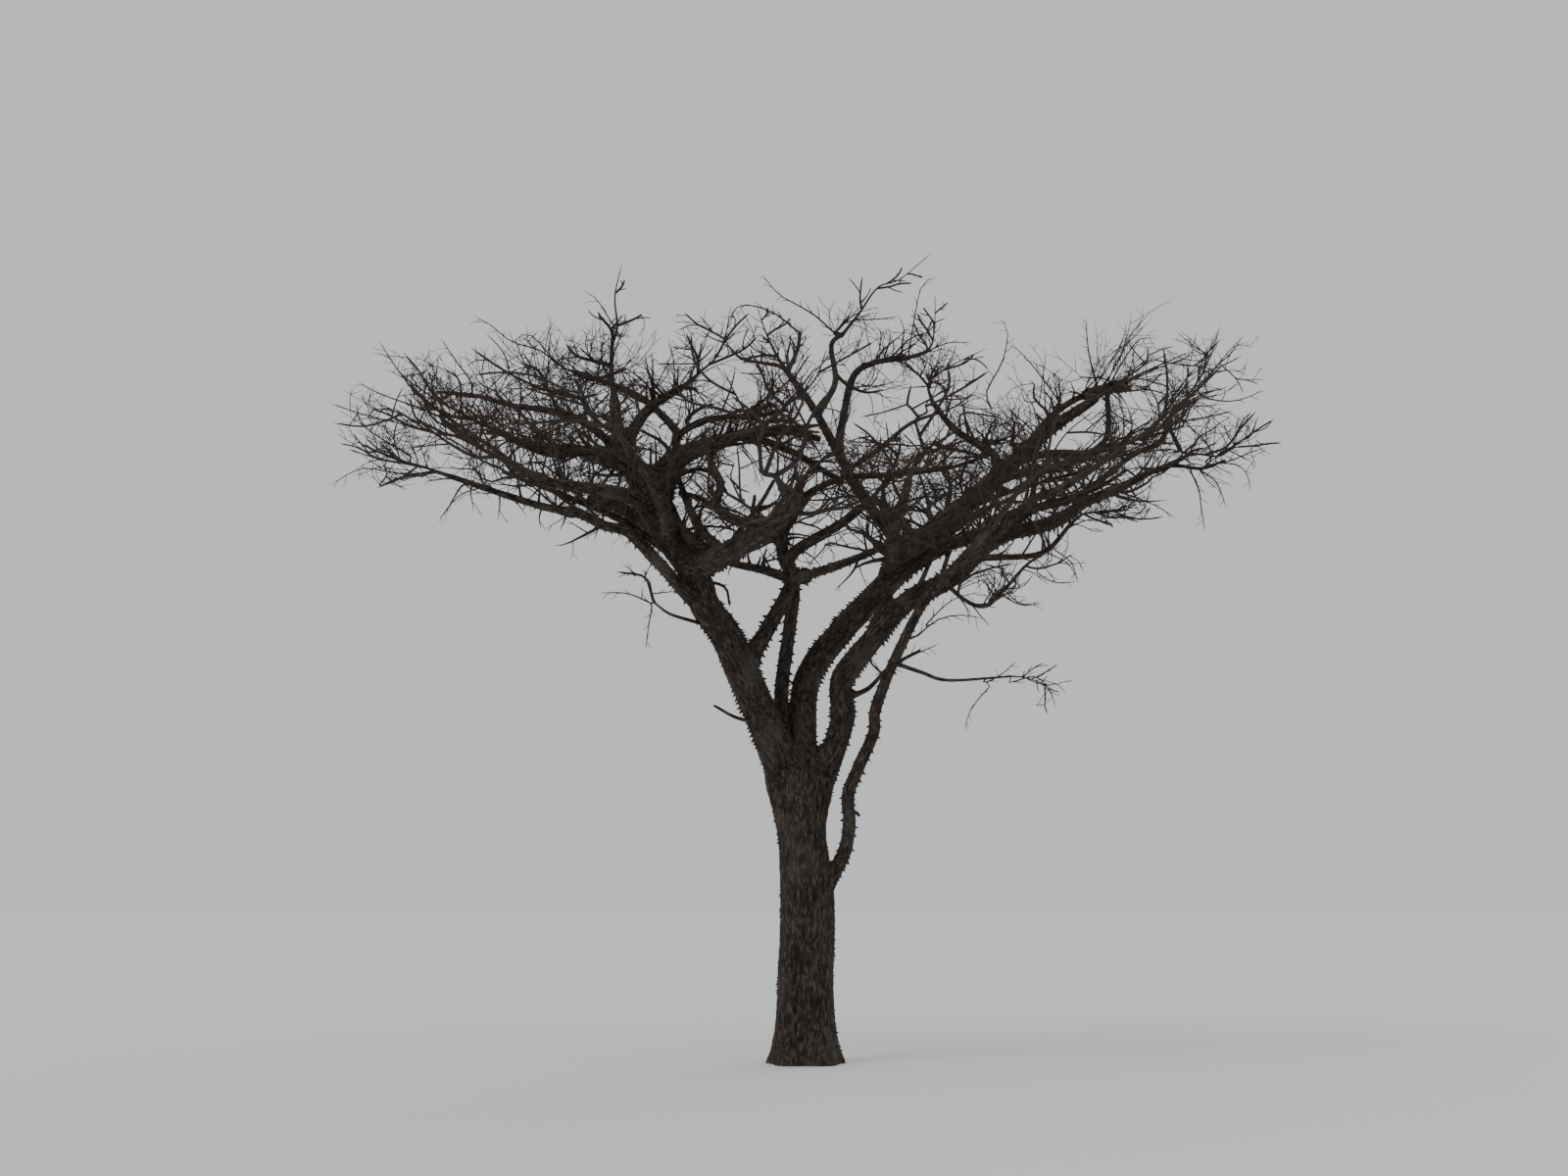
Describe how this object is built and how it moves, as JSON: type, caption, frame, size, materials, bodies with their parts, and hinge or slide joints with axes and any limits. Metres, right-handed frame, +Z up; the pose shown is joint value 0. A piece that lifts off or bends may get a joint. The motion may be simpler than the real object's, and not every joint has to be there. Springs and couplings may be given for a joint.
{
  "type": "acacia tree",
  "caption": "Bare flat-topped acacia: short stout trunk, limbs raking out of one fork, wide shallow crown of crooked thorny twigs, cut flat at the ground.",
  "frame": {"origin": "middle of the flat cut under the trunk, at ground level", "axes": "+Z up the trunk; +X to the right in the picture, along the crown's widest spread; -Y towards the viewer"},
  "size_m": [9.5103, 8.9051, 7.9105],
  "materials": {
    "trunk_bark": "rough furrowed bark",
    "limb_bark": "rough bark with woody knobs",
    "twig_wood": "dull young bark"
  },
  "bodies": {
    "root": {"trunk": "trunk_bark", "left_limb": "limb_bark", "middle_limb": "limb_bark", "right_limb": "limb_bark", "slender_limb": "limb_bark", "centre_limb": "limb_bark", "diagonal_limb": "limb_bark", "back_bough": "limb_bark", "back_rim_bough": "limb_bark", "band_bough": "limb_bark", "bridge_bough": "limb_bark", "cross_bough": "limb_bark", "dead_stub": "limb_bark", "front_bough": "limb_bark", "front_rim_bough": "limb_bark", "left_back_bough": "limb_bark", "left_far_bough": "limb_bark", "left_front_bough": "limb_bark", "left_inner_bough": "limb_bark", "left_low_bough": "limb_bark", "left_mid_bough": "limb_bark", "left_rise_bough": "limb_bark", "left_twig_bough": "limb_bark", "low_twig_bough": "limb_bark", "reaching_bough": "limb_bark", "right_back_bough": "limb_bark", "right_low_bough": "limb_bark", "right_mid_bough": "limb_bark", "riser_bough": "limb_bark", "top_bough": "limb_bark", "top_right_bough": "limb_bark", "top_tall_bough": "limb_bark", "back_rim_twigs": "twig_wood", "back_twigs": "twig_wood", "band_twigs": "twig_wood", "centre_twigs": "twig_wood", "cross_twigs": "twig_wood", "diagonal_twigs": "twig_wood", "front_rim_twigs": "twig_wood", "front_twigs": "twig_wood", "left_back_twigs": "twig_wood", "left_far_twigs": "twig_wood", "left_front_twigs": "twig_wood", "left_inner_twigs": "twig_wood", "left_low_twigs": "twig_wood", "left_mid_twigs": "twig_wood", "left_rise_twigs": "twig_wood", "left_top_twigs": "twig_wood", "low_twigs": "twig_wood", "middle_twigs": "twig_wood", "reaching_twigs": "twig_wood", "right_back_twigs": "twig_wood", "right_low_twigs": "twig_wood", "right_mid_twigs": "twig_wood", "right_rim_twigs": "twig_wood", "riser_twigs": "twig_wood", "slender_twigs": "twig_wood", "top_right_twigs": "twig_wood", "top_tall_twigs": "twig_wood", "top_twigs": "twig_wood"}
  },
  "joints": []
}
